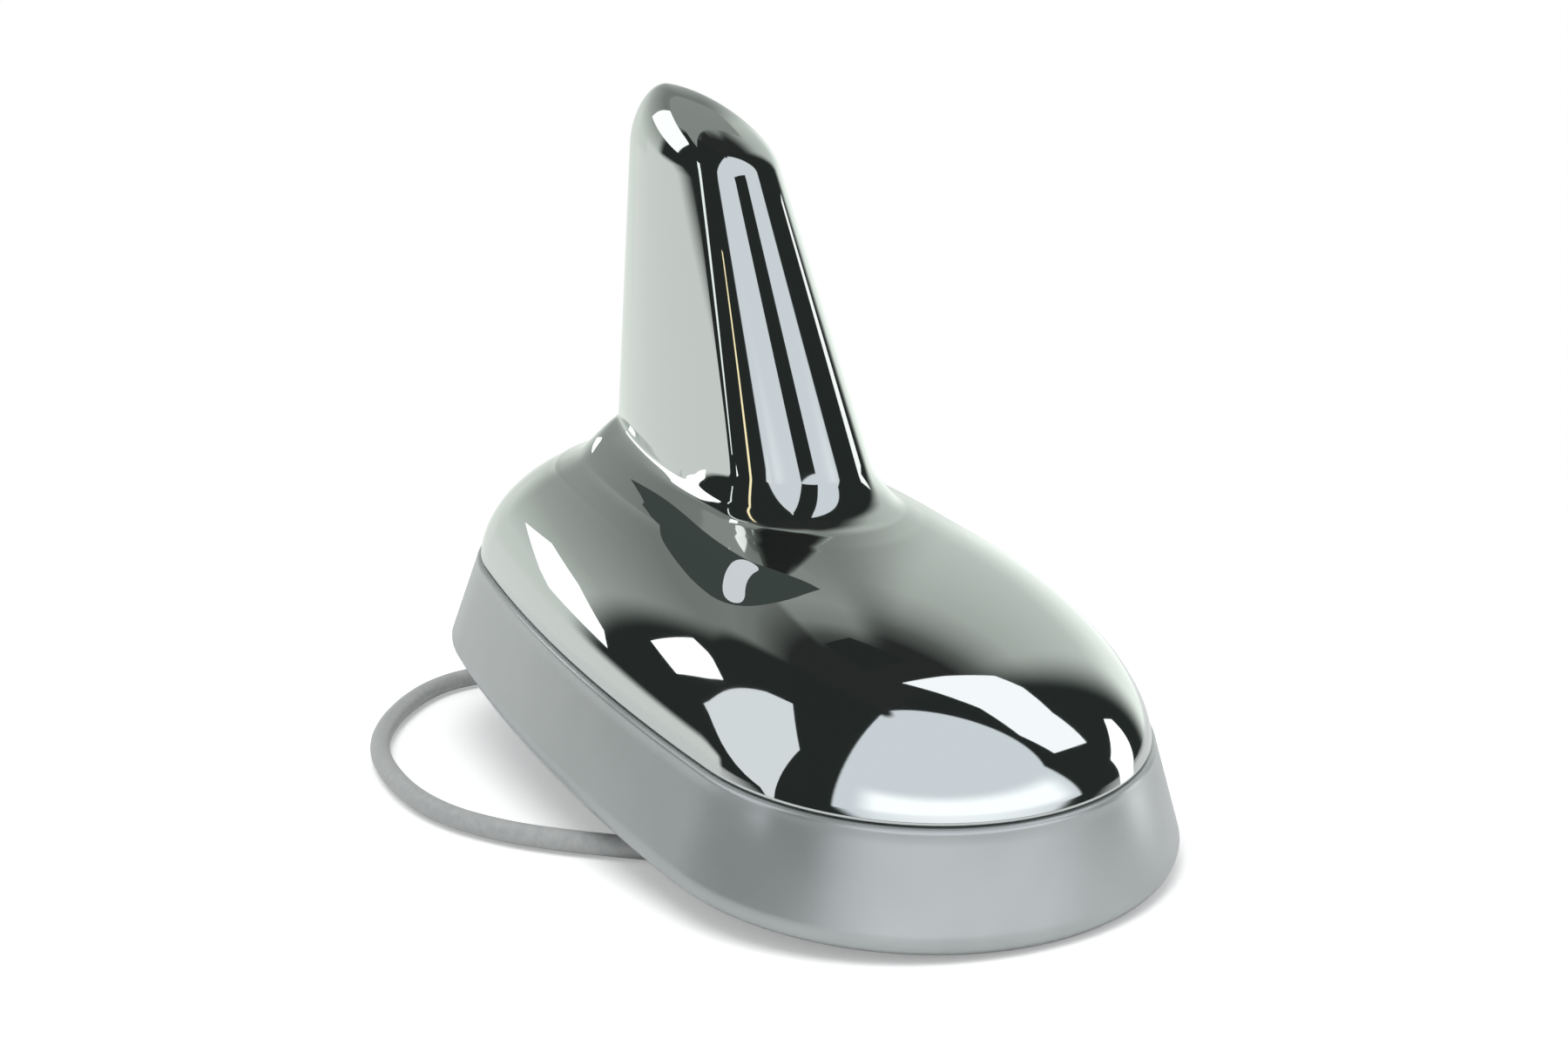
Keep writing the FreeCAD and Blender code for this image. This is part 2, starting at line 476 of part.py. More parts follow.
# Free cable: it lies on the plane that the stud's end and the front toe rest on
restSlope, restFront = 0.1262, -63.4


def rest(x, y, lift=0.0):
    return Vector(x, y, -restSlope * (y - restFront) + 1.4 + lift)


route = [Vector(0, size("exitY"), -size("grommetReach")), Vector(0, size("exitY"), -size("grommetReach") - 3.2), Vector(0.3, 20.5, -8.0), rest(0.5, 30, 0.5),
         rest(-0.5, 43), rest(-4, 57), rest(-12, 66.5), rest(-23, 66), rest(-34, 55.5), rest(-42, 41.5), rest(-45, 25.5), rest(-44.6, 11), rest(-40, -1),
         rest(-33, -10.5), rest(-23.5, -21), rest(-11, -26), rest(3, -27), rest(17, -23.5), rest(28.5, -14.5), rest(36.5, -2), rest(41, 13), rest(43.5, 27.5),
         rest(44.8, 39, 0.8), rest(45.2, 49, 2.9), rest(45.4, 58, 3.4)]
path, start, radii, length = [], route[0], [], 0.0
for before, corner, after in zip(route, route[1:], route[2:]):
    a, b = (before - corner), (after - corner)
    turn = math.pi - a.getAngle(b)
    tangent = 0.45 * min(a.Length, b.Length)
    radius = tangent / math.tan(turn / 2)
    first, last = corner + a.normalize() * tangent, corner + b.normalize() * tangent
    inward = (a + b).normalize()
    middle = corner + inward * (radius / math.cos(turn / 2) - radius)
    path.append(Part.LineSegment(start, first).toShape())
    path.append(Part.Arc(first, middle, last).toShape())
    radii.append(round(radius, 1))
    start = last
path.append(Part.LineSegment(start, route[-1]).toShape())
spine = Part.Wire(path)
ring = Part.Wire([Part.Circle(route[0], Vector(0, 0, 1), size("cableRadius")).toShape()])
cable = spine.makePipeShell([ring], True, False)
print("cable length %.1f mm, radii %s" % (spine.Length, radii))
print("cable volume %.1f, section times length %.1f" % (cable.Volume, math.pi * size("cableRadius") ** 2 * spine.Length))
node(feature("CoaxCable", cable), "coax_cable")

# Plug at the cable's end: ferrule, body with collar and bore, centre contact
plugAxis = (route[-1] - route[-2]).normalize()
plugTurn = Rotation(Vector(0, 0, 1), plugAxis)
ferrule = primitive("Cylinder", "PlugFerrule", Radius="Sizes.ferruleRadius", Height="Sizes.ferruleLength")
ferrule.Placement = Placement(route[-1], plugTurn)
node(ferrule, "plug_ferrule")
plugStart = route[-1] + plugAxis * size("ferruleLength")
plug = turned("PlugBody", [("0", "0"), ("Sizes.plugCollarRadius", "0"), ("Sizes.plugCollarRadius", "Sizes.plugCollar"), ("Sizes.plugRadius", "Sizes.plugCollar"),
                           ("Sizes.plugRadius", "Sizes.plugLength"), ("Sizes.plugBore", "Sizes.plugLength"),
                           ("Sizes.plugBore", "Sizes.plugLength - Sizes.plugBoreDepth"), ("0", "Sizes.plugLength - Sizes.plugBoreDepth")])
plug.Placement = Placement(plugStart, plugTurn)
node(plug, "plug_body")
contact = primitive("Cylinder", "PlugContact", Radius="Sizes.contactRadius", Height="Sizes.contactLength")
contact.Placement = Placement(plugStart + plugAxis * (size("plugLength") - size("plugBoreDepth")), plugTurn)
node(contact, "plug_contact")

doc.recompute()

faults = [o.Name for o in doc.Objects if "Invalid" in o.State or "Error" in o.State]
for obj in nodes:
    if obj.Shape.isNull() or not obj.Shape.isValid() or not obj.Shape.Solids:
        faults.append(obj.Label)
if faults:
    raise SystemExit("not built: " + ", ".join(faults))

for obj in nodes:
    obj.Shape.exportStep("parts/%s.step" % obj.Label)
    box = obj.Shape.BoundBox
    print("%-16s %2d solids %10.1f mm3  x %6.1f %6.1f  y %6.1f %6.1f  z %6.1f %6.1f" % (
        obj.Label, len(obj.Shape.Solids), obj.Shape.Volume, box.XMin, box.XMax, box.YMin, box.YMax, box.ZMin, box.ZMax))
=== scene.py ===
import math

import bpy
from mathutils import Matrix, Vector


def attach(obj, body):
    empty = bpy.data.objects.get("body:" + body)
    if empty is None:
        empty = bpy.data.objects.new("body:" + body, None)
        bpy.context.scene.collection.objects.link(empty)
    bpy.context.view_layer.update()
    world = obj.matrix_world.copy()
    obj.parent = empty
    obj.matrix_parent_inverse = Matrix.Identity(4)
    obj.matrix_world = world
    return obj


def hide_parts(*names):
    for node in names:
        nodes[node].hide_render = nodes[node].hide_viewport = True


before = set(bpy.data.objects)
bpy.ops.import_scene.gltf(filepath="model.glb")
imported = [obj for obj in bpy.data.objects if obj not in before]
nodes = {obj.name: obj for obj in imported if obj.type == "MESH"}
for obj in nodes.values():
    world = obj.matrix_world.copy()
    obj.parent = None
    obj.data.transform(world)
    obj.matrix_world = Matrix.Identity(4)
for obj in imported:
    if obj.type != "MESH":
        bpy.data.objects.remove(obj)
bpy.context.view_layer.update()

mm = 0.001
quarterTurn = math.pi / 2
starter = 0.05  # radius of a primitive whose corners are moved at once
halvings = 60

# Camera, at the photograph's viewing angle
camera = {
    "lens": 47.53, "sensor": 36.0, "clip": (0.01, 10.0),
    "place": (-132.30, -220.91, 115.58),
    "right": (0.8625, -0.5049, 0.0329), "back": (-0.4879, -0.8127, 0.3186),
}


def setCamera(spec):
    bpy.ops.object.camera_add()
    cam = bpy.context.active_object
    cam.name = "photoCamera"
    cam.data.lens, cam.data.sensor_width = spec["lens"], spec["sensor"]
    cam.data.clip_start, cam.data.clip_end = spec["clip"]
    right, back = Vector(spec["right"]).normalized(), Vector(spec["back"])
    back = (back - right * back.dot(right)).normalized()
    up = back.cross(right)
    turn = Matrix((right, up, back)).transposed().to_4x4()
    cam.matrix_world = Matrix.Translation(Vector(spec["place"]) * mm) @ turn
    bpy.context.scene.camera = cam


setCamera(camera)
print("camera set")


# Shader maths: a wrapped socket that takes part in Python expressions
class Val:
    def __init__(self, mat, socket):
        self.mat, self.socket = mat, socket

    def math(self, operation, other, flip=False):
        a, b = (other, self) if flip else (self, other)
        return self.mat.node("Math", {"operation": operation}, {0: a, 1: b})

    def __add__(self, other):
        return self.math("ADD", other)

    def __sub__(self, other):
        return self.math("SUBTRACT", other)

    def __rsub__(self, other):
        return self.math("SUBTRACT", other, True)

    def __mul__(self, other):
        return self.math("MULTIPLY", other)


class NodeBook:
    def __init__(self, tree):
        self.tree = tree
        self.tree.nodes.clear()

    def node(self, kind, settings, inputs, out=0):
        made = self.tree.nodes.new("ShaderNode" + kind)
        for key, value in settings.items():
            if key == "stops":
                ramp = made.color_ramp
                while len(ramp.elements) < len(value):
                    ramp.elements.new(0.5)
                for stop, (place, colour) in zip(ramp.elements, value):
                    stop.position, stop.color = place, (*colour, 1.0)
            else:
                setattr(made, key, value)
        for key, value in inputs.items():
            self.feed(made.inputs[key], value)
        return made if out is None else Val(self, made.outputs[out])

    def feed(self, socket, value):
        if isinstance(value, Val):
            self.tree.links.new(value.socket, socket)
        elif isinstance(value, tuple) and len(value) == 3 and socket.type == "RGBA":
            socket.default_value = (*value, 1.0)
        else:
            socket.default_value = value

    def mix(self, factor, a, b):
        return self.node("Mix", {"data_type": "RGBA"}, {0: factor, 6: a, 7: b}, out=2)

    def clamp(self, value, low, high, toLow=0.0, toHigh=1.0, soft=False):
        shape = {"interpolation_type": "SMOOTHSTEP"} if soft else {}
        return self.node("MapRange", shape, {0: value, 1: low, 2: high, 3: toLow, 4: toHigh})

    # One between low and high, with soft ends
    def band(self, value, low, high, soft):
        rise = self.clamp(value, low - soft / 2, low + soft / 2, soft=True)
        return rise * self.clamp(value, high - soft / 2, high + soft / 2, 1.0, 0.0, soft=True)


class Finish(NodeBook):
    noiseRoughness = 0.55
    noiseSpan = (0.3, 0.7)

    def __init__(self, name, **sockets):
        self.data = bpy.data.materials.new(name)
        self.data.use_nodes = True
        super().__init__(self.data.node_tree)
        self.shader = self.node("BsdfPrincipled", {}, {}, out=None)
        self.out = self.node("OutputMaterial", {}, {}, out=None)
        self.tree.links.new(self.shader.outputs[0], self.out.inputs[0])
        self.set(**sockets)

    def set(self, **sockets):
        for key, value in sockets.items():
            self.feed(self.shader.inputs[key.replace("_", " ")], value)

    def noise(self, scale, detail):
        point = self.node("TexCoord", {}, {}, out="Object")
        return self.node("TexNoise", {}, {"Vector": point, "Scale": scale, "Detail": detail,
                                          "Roughness": self.noiseRoughness})

    def spread(self, noise, toLow=0.0, toHigh=1.0):
        return self.clamp(noise, *self.noiseSpan, toLow, toHigh)

    def bump(self, height, strength, distance):
        return self.node("Bump", {}, {"Height": height, "Strength": strength, "Distance": distance})


def dress(obj, finish):
    obj.data.materials.clear()
    obj.data.materials.append(finish.data)


def clearChoice():
    if bpy.context.object and bpy.context.object.mode != "OBJECT":
        bpy.ops.object.mode_set(mode="OBJECT")
    bpy.ops.object.select_all(action="DESELECT")


# Lead: the free coaxial cable, lying on the surface that toe and stud rest on
lead = {
    "radius": 1.4, "length": 300.7, "restSlope": 0.1262, "restFront": -63.4,
    "exit": (0.0, 16.0, -2.0), "drop": 3.2, "stub": [(0.3, 20.5, -8.0)],
    # lying: x, y and the lift above that surface
    "lying": [
        (0.5, 30, 0.5), (-0.5, 43, 0), (-4, 57, 0), (-12, 66.5, 0), (-23, 66, 0), (-34, 55.5, 0),
        (-42, 41.5, 0), (-45, 25.5, 0), (-44.6, 11, 0), (-40, -1, 0), (-33, -10.5, 0), (-23.5, -21, 0),
        (-11, -26, 0), (3, -27, 0), (17, -23.5, 0), (28.5, -14.5, 0), (36.5, -2, 0), (41, 13, 0),
        (43.5, 27.5, 0), (44.8, 39, 0.8), (45.2, 49, 2.9), (45.4, 58, 3.4),
    ],
    "order": 3, "alongSteps": 14, "roundSteps": 8,
}


def leadRoute(spec):
    x, y, z = spec["exit"]
    route = [(x, y, z), (x, y, z - spec["drop"])] + spec["stub"]
    for px, py, lift in spec["lying"]:
        route.append((px, py, -spec["restSlope"] * (py - spec["restFront"]) + spec["radius"] + lift))
    return [Vector(p) * mm for p in route]


# The bevel is one metre deep and each point's radius scales it to the lead's own
def makeLead(spec):
    route = leadRoute(spec)
    data = bpy.data.curves.new("coaxLead", "CURVE")
    data.dimensions = "3D"
    spline = data.splines.new("NURBS")
    spline.points.add(len(route) - 1)
    for point, place in zip(spline.points, route):
        point.co, point.radius = (*place, 1.0), spec["radius"] * mm
    spline.order_u = spec["order"]
    spline.use_endpoint_u = True
    spline.resolution_u = spec["alongSteps"]
    data.bevel_depth = 1.0
    data.bevel_resolution = spec["roundSteps"]
    data.use_fill_caps = True
    obj = bpy.data.objects.new("coaxLead", data)
    bpy.context.scene.collection.objects.link(obj)
    return obj


coaxLead = makeLead(lead)
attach(coaxLead, "root")
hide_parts("coax_cable")
print("lead laid")


# Egg outlines: four tangent arcs, each with a fixed count of points, from the nose round by the left
def eggPoints(front, rear, half, noseRadius, tailRadius, counts):
    largest = 0.98 * half
    noseRadius, tailRadius = min(noseRadius, largest), min(tailRadius, largest)
    noseY, tailY = front + noseRadius, rear - tailRadius
    span = tailY - noseY

    def reach(big, small):
        return math.sqrt(max(0.0, 2 * big * (half - small) + small * small - half * half))

    low = max(half + noseRadius, half + tailRadius) / 2
    high = 2 * low
    while reach(high, noseRadius) + reach(high, tailRadius) < span:
        high *= 2
    for step in range(halvings):
        mid = (low + high) / 2
        if reach(mid, noseRadius) + reach(mid, tailRadius) < span:
            low = mid
        else:
            high = mid
    big = (low + high) / 2
    beam = noseY + reach(big, noseRadius)
    noseTurn = math.atan2(noseY - beam, big - half)
    tailTurn = math.atan2(tailY - beam, big - half)
    arcs = [(0.0, noseY, noseRadius, noseTurn, -math.pi - noseTurn, counts[0]),
            (big - half, beam, big, -math.pi - noseTurn, -math.pi - tailTurn, counts[1]),
            (0.0, tailY, tailRadius, math.pi - tailTurn, tailTurn, counts[2]),
            (half - big, beam, big, tailTurn, noseTurn, counts[1])]
    points = []
    for cx, cy, radius, start, end, count in arcs:
        for k in range(count):
            a = start + (end - start) * k / count
            points.append((cx + radius * math.cos(a), cy + radius * math.sin(a)))
    return points


# Skin: rings of points joined section by section, as a loft
def skinSections(name, sections, closeTop=False, closeRing=False):
    clearChoice()
    count, rings = len(sections[0]), len(sections)
    bpy.ops.mesh.primitive_circle_add(vertices=count, radius=starter)
    obj = bpy.context.active_object
    obj.name = name
    verts = [Vector(p) * mm for ring in sections for p in ring]
    faces = []
    for r in range(rings if closeRing else rings - 1):
        a, b = r * count, ((r + 1) % rings) * count
        for k in range(count):
            n = (k + 1) % count
            faces.append((a + k, a + n, b + n, b + k))
    if closeTop:
        faces.append(tuple(range((rings - 1) * count, rings * count)))
    obj.data.clear_geometry()
    obj.data.from_pydata(verts, [], faces)
    obj.data.update()
    bpy.ops.object.mode_set(mode="EDIT")
    bpy.ops.mesh.select_all(action="SELECT")
    bpy.ops.mesh.normals_make_consistent(inside=False)
    bpy.ops.object.mode_set(mode="OBJECT")
    bpy.ops.object.shade_smooth()
    return obj


base = {
    "length": 130.0, "width": 68.4, "noseRadius": 33.5, "tailRadius": 30.5, "counts": (64, 56, 56),
    "skirt": 13.6, "flare": 3.75, "toe": 1.6, "lip": 0.6, "bore": 7.55,
    "toeSteps": 8, "flareSteps": 10, "lipSteps": 5,
}


def baseRing(inset, z):
    reach = base["length"] / 2 - inset
    ring = eggPoints(-reach, reach, base["width"] / 2 - inset,
                     base["noseRadius"] - inset, base["tailRadius"] - inset, base["counts"])
    return [(x, y, z) for x, y in ring]


# Plated shell: dome, concave root and fin in one skin
shell = {
    "inset": 4.35, "domeHeight": 21.5, "domePower": 1.7, "domeRoot": 2.3, "crown": 11.0,
    # fin: front, rear and half width are each given at the root and at the top
    "finTop": 81.8, "finRoot": 28.7, "front": (-18.0, 15.0), "rear": (40.5, 41.0), "half": (12.5, 6.1),
    "nose": 0.9, "tail": 0.55, "fillet": 5.0, "blend": 1.6,
    "tipHeight": 8.4, "tipPower": 1.9, "tipStation": 0.25, "tipFlat": 0.004,
    "counts": (64, 56, 56), "domeSteps": 36, "rootSteps": 44, "finSteps": 34, "tipSteps": 24,
    # rim: inset and rise above the seam, from inside round to the outer face
    "rim": [(2.2, 3.0), (2.2, 0.0), (0.75, 0.0), (0.12, 0.25), (0.0, 0.45)], "rimTop": 0.6,
}


def softMax(a, b, width):
    overlap = max(0.0, width - abs(a - b)) / width
    return max(a, b) + overlap * overlap * width / 4


# Extents at a height: ahead of the crown, behind it, half width, nose radius, tail radius
def domeExtents(z):
    s = shell
    h = min(0.9999, max(0.0, (z - base["skirt"]) / s["domeHeight"]))
    scale = (1 - h ** s["domePower"]) ** (1 / s["domeRoot"])
    reach, c = base["length"] / 2 - s["inset"], s["crown"]
    return [(c + reach) * scale, (reach - c) * scale, (base["width"] / 2 - s["inset"]) * scale,
            (base["noseRadius"] - s["inset"]) * scale, (base["tailRadius"] - s["inset"]) * scale]


def finExtents(z):
    s = shell
    g = (z - s["finRoot"]) / (s["finTop"] - s["finRoot"])
    front, rear, half = (s[key][0] + (s[key][1] - s[key][0]) * g for key in ("front", "rear", "half"))
    k = (z - s["finTop"] + s["tipHeight"]) / s["tipHeight"]
    if k > 0:
        t = (1 - k ** s["tipPower"]) ** (1 / s["tipPower"])
        pivot = rear - s["tipStation"] * (rear - front)
        front, rear, half = pivot - (pivot - front) * t, pivot + (rear - pivot) * t, half * t
    return [s["crown"] - front, rear - s["crown"], half, s["nose"] * half, s["tail"] * half]


# Where the dome meets the fillet round the fin: front, rear, side
def rootHeight(index):
    low, high = base["skirt"], base["skirt"] + shell["domeHeight"]
    for step in range(halvings):
        mid = (low + high) / 2
        if domeExtents(mid)[index] > finExtents(mid)[index] + shell["fillet"]:
            low = mid
        else:
            high = mid
    return low


rootHeights = [rootHeight(k) for k in range(3)]


def rootFlare(z, index):
    h = min(1.0, max(0.0, (z - rootHeights[index]) / shell["fillet"]))
    return shell["fillet"] * (1 - math.sqrt(1 - (1 - h) ** 2))


def shellRing(z, inset=0.0, rise=0.0):
    s = shell
    # the nose flares with the front, the tail with the rear
    both = [v + rootFlare(z, k) for v, k in zip(finExtents(z), (0, 1, 2, 0, 1))]
    if z < base["skirt"] + s["domeHeight"] + s["fillet"]:
        both = [softMax(a, b, s["blend"]) for a, b in zip(domeExtents(z), both)]
    a, b, w, n, m = both
    c = s["crown"]
    ring = eggPoints(c - a + inset, c + b - inset, w - inset, n - inset, m - inset, s["counts"])
    return [(x, y, z + rise) for x, y in ring]


# Evenly spaced levels, or levels that crowd towards the top
def levelSteps(low, high, count, crowded=False):
    parts = (math.sin(quarterTurn * k / count) if crowded else k / count for k in range(count))
    return [low + (high - low) * part for part in parts]


def makeShell():
    seam, s = base["skirt"], shell
    rootBase, rootTop = min(rootHeights), max(rootHeights) + s["fillet"]
    tipBase = s["finTop"] - s["tipHeight"]
    levels = levelSteps(seam, rootBase, s["domeSteps"], True)
    levels += levelSteps(rootBase, rootTop, s["rootSteps"])
    levels += levelSteps(rootTop, tipBase, s["finSteps"])
    levels += levelSteps(tipBase, s["finTop"], s["tipSteps"], True)
    levels.append(s["finTop"] - s["tipFlat"])
    rim = [shellRing(seam, inset, rise) for inset, rise in s["rim"]]
    return skinSections("glossShell", rim + [shellRing(z) for z in levels if z > seam + s["rimTop"]],
                        closeTop=True)


glossShell = makeShell()
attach(glossShell, "root")
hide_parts("fin_housing")
print("shell skinned", len(glossShell.data.polygons))


# Rubber skirt with its rounded toe and lip: pairs of inset and height
def makeSkirt():
    toe, lip, seam, flare = base["toe"], base["lip"], base["skirt"], base["flare"]
    profile = [(base["bore"], seam), (base["bore"], 0.0)]
    for k in range(base["toeSteps"] + 1):
        a = quarterTurn * k / base["toeSteps"]
        profile.append((toe * (1 - math.sin(a)), toe * (1 - math.cos(a))))
    for k in range(1, base["flareSteps"] + 1):
        part = k / base["flareSteps"]
        profile.append((flare * part, toe + (seam - lip - toe) * part))
    for k in range(1, base["lipSteps"] + 1):
        a = quarterTurn * k / base["lipSteps"]
        profile.append((flare + lip * (1 - math.cos(a)), seam - lip * (1 - math.sin(a))))
    return skinSections("rubberSkirt", [baseRing(inset, z) for inset, z in profile], closeRing=True)


rubberSkirt = makeSkirt()
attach(rubberSkirt, "root")
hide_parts("base_gasket")
print("skirt skinned", len(rubberSkirt.data.polygons))


# Turned pieces: a disc extruded and scaled ring by ring, from (radius, height) pairs
def turnRings(name, profile, segments=48):
    clearChoice()
    radius, height = profile[0]
    bpy.ops.mesh.primitive_circle_add(vertices=segments, radius=radius * mm, fill_type="NGON",
                                      location=(0, 0, height * mm))
    obj = bpy.context.active_object
    obj.name = name
    bpy.ops.object.transform_apply(location=True, rotation=True, scale=True)
    bpy.ops.object.mode_set(mode="EDIT")
    bpy.ops.mesh.select_all(action="SELECT")
    for nextRadius, nextHeight in profile[1:]:
        climb = (nextHeight - height) * mm
        bpy.ops.mesh.extrude_region_move(TRANSFORM_OT_translate={"value": (0, 0, climb)})
        k = nextRadius / radius
        bpy.ops.transform.resize(value=(k, k, 1.0), center_override=(0, 0, nextHeight * mm))
        radius, height = nextRadius, nextHeight
    bpy.ops.mesh.select_all(action="SELECT")
    bpy.ops.mesh.normals_make_consistent(inside=False)
    bpy.ops.object.mode_set(mode="OBJECT")
    return obj


def useModifier(obj, kind, **settings):
    clearChoice()
    bpy.context.view_layer.objects.active = obj
    obj.select_set(True)
    step = obj.modifiers.new(kind.lower(), kind)
    for key, value in settings.items():
        setattr(step, key, value)
    bpy.ops.object.modifier_apply(modifier=step.name)


# Joined pieces are smooth up to this edge angle
smoothAngle = math.radians(32)


def joinPieces(name, pieces):
    clearChoice()
    for piece in pieces:
        piece.select_set(True)
    bpy.context.view_layer.objects.active = pieces[0]
    bpy.ops.object.join()
    obj = bpy.context.active_object
    obj.name = name
    bpy.ops.object.shade_smooth_by_angle(angle=smoothAngle)
    return obj


def settle(obj, turn, place):
    obj.matrix_world = Matrix.Translation(place) @ turn.to_matrix().to_4x4()
    clearChoice()
    bpy.context.view_layer.objects.active = obj
    obj.select_set(True)
    bpy.ops.object.transform_apply(location=True, rotation=True, scale=True)


# Roof stud: one thread ridge swept up the shank between a chamfered end and a plain collar
stud = {
    "radius": 3.0, "root": 2.55, "end": -8.0, "chamfer": 0.7, "threadTop": -0.2, "collarRise": 0.45,
    "neck": 3.6, "head": 6.0, "plate": (1.0, 4.0), "headTop": 6.0,
    "pitch": 1.0, "leadIn": 0.3, "halfCrest": 0.1, "sunk": 0.1, "steps": 40, "weld": 1e-6,
}


def makeStud(spec):
    low, high = spec["plate"]
    radius, root, neck, head = spec["radius"], spec["root"], spec["neck"], spec["head"]
    end, top = spec["end"], spec["threadTop"]
    body = turnRings("roofStud", [
        (radius - spec["chamfer"], end), (root, end + spec["chamfer"] / 2), (root, top),
        (radius, top + spec["collarRise"]), (radius, low), (neck, low), (neck, high),
        (head, high), (head, spec["headTop"])])
    clearChoice()
    bpy.ops.mesh.primitive_circle_add(vertices=4, radius=starter)
    ridge = bpy.context.active_object
    ridge.name = "threadRidge"
    half, crest, foot = spec["pitch"] / 2, spec["halfCrest"], root - spec["sunk"]
    start = end + spec["leadIn"] + half
    corners = [(foot, start - half), (radius, start - crest), (radius, start + crest), (foot, start + half)]
    for vert, (r, z) in zip(ridge.data.vertices, corners):
        vert.co = (r * mm, 0.0, z * mm)
    useModifier(ridge, "SCREW", angle=math.radians(360), screw_offset=spec["pitch"] * mm,
                iterations=int((top - start) / spec["pitch"]), steps=spec["steps"],
                render_steps=spec["steps"], use_merge_vertices=True, merge_threshold=spec["weld"])
    bpy.ops.object.mode_set(mode="EDIT")
    bpy.ops.mesh.select_all(action="SELECT")
    bpy.ops.mesh.remove_doubles(threshold=spec["weld"])
    bpy.ops.mesh.fill_holes(sides=4)
    bpy.ops.mesh.normals_make_consistent(inside=False)
    bpy.ops.object.mode_set(mode="OBJECT")
    return joinPieces("roofStud", [body, ridge])


roofStud = makeStud(stud)
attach(roofStud, "root")
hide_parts("roof_stud")
print("stud threaded", len(roofStud.data.polygons))

# Housing screws: one pan head with a cross recess, copied to the three sinks
screwSet = {
    "head": 2.8, "headHeight": 1.6, "shank": 1.5, "foot": 1.0, "top": 11.5, "segments": 36,
    # pan: share of the head's radius and rise above the foot; tip: end radius and taper length
    "pan": [(0.86, 0.0), (0.97, 0.18), (1.0, 0.45)], "tip": (0.5, 0.8),
    "recess": (3.0, 0.75, 0.9), "spots": [(20.0, -26.0), (-20.0, -26.0), (0.0, 47.0)],
}


def makeScrews(spec):
    foot, head, shank, top = spec["foot"], spec["head"], spec["shank"], spec["top"]
    under = foot + spec["headHeight"]
    tipRadius, taper = spec["tip"]
    profile = [(head * share, foot + rise) for share, rise in spec["pan"]]
    profile += [(head, under), (shank, under), (shank, top - taper), (tipRadius, top)]
    screw = turnRings("housingScrew", profile, spec["segments"])
    length, width, depth = spec["recess"]
    for turn in (0.0, quarterTurn):
        clearChoice()
        bpy.ops.mesh.primitive_cube_add(size=1.0, location=(0, 0, foot * mm), rotation=(0, 0, turn),
                                        scale=(length * mm, width * mm, 2 * depth * mm))
        slot = bpy.context.active_object
        bpy.ops.object.transform_apply(location=True, rotation=True, scale=True)
        useModifier(screw, "BOOLEAN", operation="DIFFERENCE", object=slot, solver="EXACT")
        bpy.data.objects.remove(slot)
    copies = []
    for x, y in spec["spots"]:
        copy = screw.copy()
        copy.data = screw.data.copy()
        bpy.context.scene.collection.objects.link(copy)
        copy.data.transform(Matrix.Translation((x * mm, y * mm, 0)))
        copies.append(copy)
    bpy.data.objects.remove(screw)
    return joinPieces("housingScrews", copies)


housingScrews = makeScrews(screwSet)
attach(housingScrews, "root")
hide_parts("housing_screws")
print("screws cut", len(housingScrews.data.polygons))

# Plug: collar, grip grooves, a mouth with its bore, and two guide ribs along the body
plug = {
    "offset": 8.0, "collar": 4.8, "collarLength": 3.0, "body": 4.2, "length": 16.0,
    "bore": 1.8, "boreDepth": 7.0, "mouth": 0.35, "edge": 0.5, "shoulder": 0.4, "step": 0.05,
    "groove": 0.45, "grooves": (4.2, 5.6, 7.0), "grooveFloor": (0.2, 0.7), "grooveWidth": 0.9,
    # ribs: width on each side, height above the body, length, depth sunk in it, distance from the mouth
    "ribWidths": {1: 1.44, -1: 0.9}, "ribRise": 0.55, "ribLength": 7.2, "ribSunk": 0.6, "ribBack": 0.8,
    "ribBevel": 0.2,
}


def makePlug(spec):
    r, c, end, bore = spec["body"], spec["collar"], spec["length"], spec["bore"]
    edge, shoulder, mouth, collarEnd = spec["edge"], spec["shoulder"], spec["mouth"], spec["collarLength"]
    profile = [(c - edge, 0.0), (c, edge), (c, collarEnd - shoulder), (c - shoulder, collarEnd),
               (r, collarEnd + spec["step"])]
    floor = r - spec["groove"]
    floorStart, floorEnd = spec["grooveFloor"]
    for z in spec["grooves"]:
        profile += [(r, z), (floor, z + floorStart), (floor, z + floorEnd), (r, z + spec["grooveWidth"])]
    profile += [(r, end - edge), (r - edge, end), (bore + mouth, end), (bore, end - mouth),
                (bore, end - spec["boreDepth"])]
    pieces = [turnRings("plugShell", profile)]
    rise, length, sunk = spec["ribRise"], spec["ribLength"], spec["ribSunk"]
    for side, width in spec["ribWidths"].items():
        clearChoice()
        place = (side * (r + (rise - sunk) / 2) * mm, 0, (end - spec["ribBack"] - length / 2) * mm)
        bpy.ops.mesh.primitive_cube_add(size=1.0, location=place,
                                        scale=((rise + sunk) * mm, width * mm, length * mm))
        rib = bpy.context.active_object
        bpy.ops.object.transform_apply(location=True, rotation=True, scale=True)
        useModifier(rib, "BEVEL", width=spec["ribBevel"] * mm, segments=2)
        pieces.append(rib)
    body = joinPieces("plugShell", pieces)
    route = leadRoute(lead)
    axis = (route[-1] - route[-2]).normalized()
    turn = Vector((0, 0, 1)).rotation_difference(axis)
    settle(body, turn, route[-1] + axis * spec["offset"] * mm)
    return body


plugShell = makePlug(plug)
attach(plugShell, "root")
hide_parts("plug_body")
print("plug made", len(plugShell.data.polygons))

# Finishes
darkChrome = Finish("darkChrome", Base_Color=(0.56, 0.59, 0.575), Metallic=1.0)
haze = darkChrome.noise(60.0, 5.0)
darkChrome.set(Roughness=darkChrome.clamp(haze, 0.35, 0.75, 0.02, 0.06))
dress(glossShell, darkChrome)

